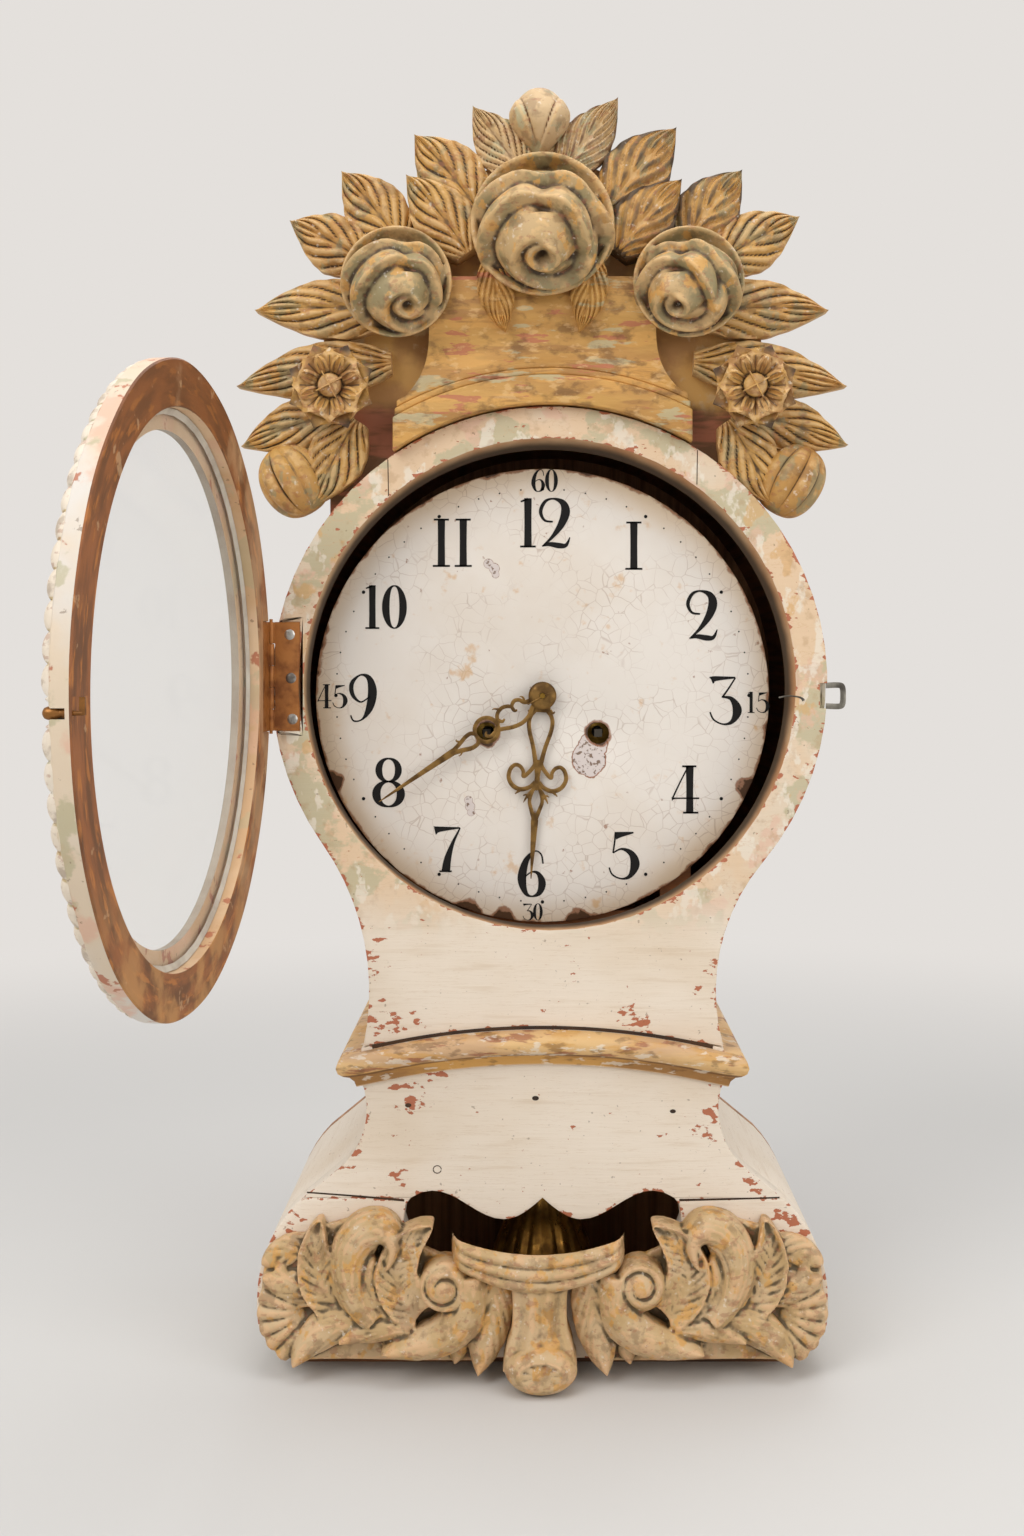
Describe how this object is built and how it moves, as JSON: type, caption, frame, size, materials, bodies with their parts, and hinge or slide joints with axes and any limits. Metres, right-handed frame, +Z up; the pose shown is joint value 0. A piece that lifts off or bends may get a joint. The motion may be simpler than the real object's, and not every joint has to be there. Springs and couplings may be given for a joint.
{
  "type": "table clock",
  "caption": "Painted wooden table clock with a hinged glazed door on its round head, a carved flower crest, a narrow waist and a swept base with a pierced window before the pendulum.",
  "frame": {"origin": "middle of the bottom board's underside, on the surface that the clock stands on", "axes": "+Z up; the dial faces -Y; +X is to the right as one faces the dial"},
  "size_m": [0.4604, 0.6066, 0.901],
  "materials": {
    "cream_paint": "worn cream paint over terracotta ground",
    "ochre_paint": "worn ochre paint with brown glaze",
    "sage_paint": "worn sage green paint over ochre",
    "gilt_brown": "dull bronze paint with dark tips",
    "bare_wood": "bare aged pine",
    "ivory_dial": "crazed ivory paint",
    "dark_brass": "darkened brass",
    "brass": "aged brass",
    "steel": "dull steel",
    "copper_brown": "copper brown lacquer",
    "clear_glass": "old clear glass",
    "grey_putty": "grey glazing putty"
  },
  "bodies": {
    "case": {"head_front_board": "cream_paint", "head_side_band": "cream_paint", "head_back_board": "bare_wood", "waist_moulding_front": "ochre_paint", "waist_moulding_left": "ochre_paint", "waist_moulding_right": "ochre_paint", "base_front_upper": "cream_paint", "base_front_lower": "cream_paint", "base_side_left": "cream_paint", "base_side_right": "cream_paint", "base_back_board": "bare_wood", "bottom_board": "bare_wood", "seat_board": "bare_wood", "seat_cheek_left": "bare_wood", "seat_cheek_right": "bare_wood", "cheek_rail": "bare_wood", "crest_plinth": "ochre_paint", "crest_leaves_left": "ochre_paint", "crest_leaves_right": "ochre_paint", "crest_finial": "ochre_paint", "rose_centre": "sage_paint", "rose_left": "sage_paint", "rose_right": "sage_paint", "daisy_left": "gilt_brown", "daisy_right": "gilt_brown", "apron_centre": "sage_paint", "apron_scroll_left": "sage_paint", "apron_scroll_right": "sage_paint", "hinge_leaf_case": "copper_brown", "hinge_pin": "steel", "latch_keeper": "steel", "dial_plate": "ivory_dial", "front_plate": "brass", "back_plate": "brass", "pendulum_cock": "brass", "bell": "brass", "bell_standard": "steel"},
    "door": {"door_ring": "cream_paint", "door_glass": "clear_glass", "glazing_putty": "grey_putty", "hinge_leaf_door": "copper_brown"},
    "catch": {"door_catch": "dark_brass"},
    "centre_arbor": {"centre_wheel": "brass", "cannon_pinion": "brass", "minute_hand": "dark_brass", "hand_collet": "dark_brass"},
    "hour_work": {"hour_wheel": "brass", "hour_hand": "dark_brass"},
    "minute_work": {"minute_wheel": "brass"},
    "going_barrel": {"going_barrel": "brass"},
    "going_winder": {"going_winding_arbor": "steel"},
    "third_wheel": {"third_wheel": "brass"},
    "escape_wheel": {"escape_wheel": "brass"},
    "strike_barrel": {"strike_barrel": "brass"},
    "strike_winder": {"strike_winding_arbor": "steel"},
    "pin_wheel": {"pin_wheel": "brass"},
    "pallets": {"pallets": "steel"},
    "pendulum": {"pendulum_rod": "steel", "pendulum_bob": "brass"},
    "hammer": {"hammer": "steel"}
  },
  "joints": [
    {"name": "door_hinge", "type": "hinge", "parent": "case", "child": "door", "pos_m": [-0.1895, -0.11025, 0.487], "axis": [0, 0, 1], "range_deg": [-40, 96]},
    {"name": "catch_turn", "type": "hinge", "parent": "door", "child": "catch", "pos_m": [-0.2295, -0.49317, 0.4735], "axis": [0.9945, -0.1045, 0], "range_deg": [0, 90]},
    {"name": "minute_turn", "type": "hinge", "parent": "case", "child": "centre_arbor", "pos_m": [0, 0, 0.473], "axis": [0, 1, 0], "continuous": true},
    {"name": "hour_turn", "type": "hinge", "parent": "case", "child": "hour_work", "pos_m": [0, 0, 0.473], "axis": [0, 1, 0], "continuous": true},
    {"name": "minute_wheel_turn", "type": "hinge", "parent": "case", "child": "minute_work", "pos_m": [0.017, 0, 0.48994], "axis": [0, 1, 0], "continuous": true},
    {"name": "going_barrel_turn", "type": "hinge", "parent": "case", "child": "going_barrel", "pos_m": [0.04, 0, 0.446], "axis": [0, 1, 0], "continuous": true},
    {"name": "third_wheel_turn", "type": "hinge", "parent": "case", "child": "third_wheel", "pos_m": [-0.019, 0, 0.49943], "axis": [0, 1, 0], "continuous": true},
    {"name": "escape_wheel_turn", "type": "hinge", "parent": "case", "child": "escape_wheel", "pos_m": [0, 0, 0.51776], "axis": [0, 1, 0], "continuous": true},
    {"name": "going_winding", "type": "hinge", "parent": "case", "child": "going_winder", "pos_m": [0.04, 0, 0.446], "axis": [0, 1, 0], "continuous": true},
    {"name": "strike_winding", "type": "hinge", "parent": "case", "child": "strike_winder", "pos_m": [-0.04, 0, 0.446], "axis": [0, 1, 0], "continuous": true},
    {"name": "strike_barrel_turn", "type": "hinge", "parent": "case", "child": "strike_barrel", "pos_m": [-0.04, 0, 0.446], "axis": [0, 1, 0], "continuous": true},
    {"name": "pin_wheel_turn", "type": "hinge", "parent": "case", "child": "pin_wheel", "pos_m": [-0.052, 0, 0.49274], "axis": [0, 1, 0], "continuous": true},
    {"name": "pendulum_swing", "type": "hinge", "parent": "case", "child": "pendulum", "pos_m": [0, 0.018, 0.55], "axis": [0, 1, 0], "range_deg": [-4, 4]},
    {"name": "pallet_rock", "type": "hinge", "parent": "case", "child": "pallets", "pos_m": [0, 0, 0.55], "axis": [0, 1, 0], "range_deg": [-4, 4]},
    {"name": "hammer_tip", "type": "hinge", "parent": "case", "child": "hammer", "pos_m": [0.058, 0, 0.546], "axis": [0, 1, 0], "range_deg": [-2, 18], "stiffness_Nm_per_rad": 0.3}
  ],
  "couplings": [
    {"joint": "hour_turn", "follows": "minute_turn", "ratio": 0.083333},
    {"joint": "minute_wheel_turn", "follows": "minute_turn", "ratio": -0.33333},
    {"joint": "going_barrel_turn", "follows": "minute_turn", "ratio": -0.16667},
    {"joint": "third_wheel_turn", "follows": "minute_turn", "ratio": -9.3333},
    {"joint": "escape_wheel_turn", "follows": "minute_turn", "ratio": 84},
    {"joint": "pin_wheel_turn", "follows": "strike_barrel_turn", "ratio": -6},
    {"joint": "pallet_rock", "follows": "pendulum_swing", "ratio": 1}
  ]
}
